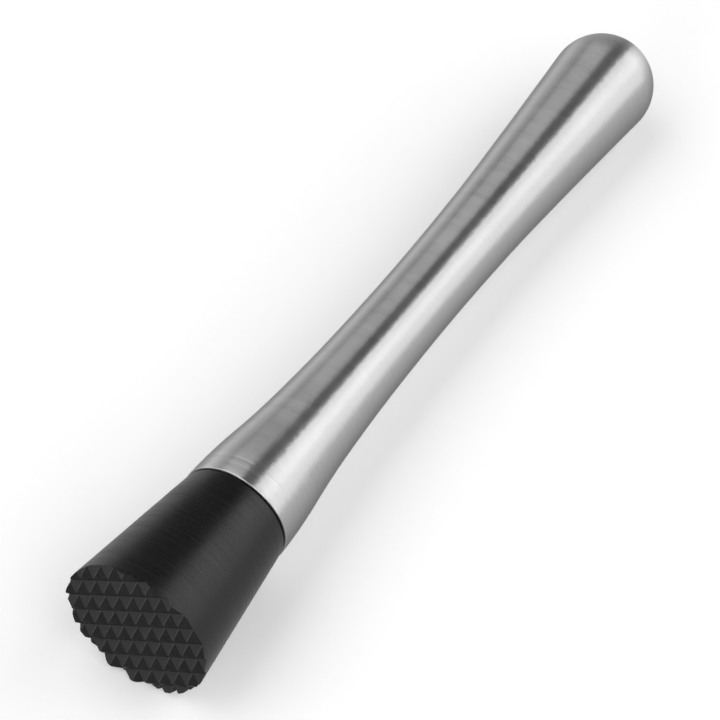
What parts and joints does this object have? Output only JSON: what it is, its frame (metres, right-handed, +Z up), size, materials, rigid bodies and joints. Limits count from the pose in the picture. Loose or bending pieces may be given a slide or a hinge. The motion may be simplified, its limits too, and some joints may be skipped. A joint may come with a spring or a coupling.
{
  "type": "muddler",
  "caption": "Bar muddler lying on its side: hollow waisted steel handle with a domed end, and a flared black nylon head with a toothed working face that screws off.",
  "frame": {"origin": "under the middle of the muddler as it lies on its side, on the plane that the head's edge and the dome rest on", "axes": "+X from the toothed head to the domed end, +Z up; the muddler's own axis falls 1.22 degrees towards the dome, which is narrower than the head"},
  "size_m": [0.2046, 0.0327, 0.0327],
  "materials": {
    "brushed_steel": "satin, brushed round the axis",
    "pressed_steel": "bright pressed sheet",
    "nut_steel": "plain machined",
    "stud_steel": "rolled thread",
    "black_nylon": "satin, turned",
    "seal_rubber": "matt"
  },
  "bodies": {
    "handle": {"handle_shell": "brushed_steel", "mouth_plate": "pressed_steel", "weld_nut": "nut_steel"},
    "seal_ring": {"seal_ring": "seal_rubber"},
    "head": {"head": "black_nylon", "head_stud": "stud_steel"}
  },
  "joints": [
    {"name": "head_travel", "type": "slide", "parent": "handle", "child": "seal_ring", "axis": [-0.9998, 0, 0.0213], "range_m": [0, 0.0075]},
    {"name": "head_turn", "type": "hinge", "parent": "seal_ring", "child": "head", "pos_m": [-0.06631, 0, 0.01563], "axis": [-0.9998, 0, 0.0213], "range_deg": [0, 2160]}
  ],
  "couplings": [
    {"joint": "head_travel", "follows": "head_turn", "m_per_rad": 0.00019894}
  ]
}
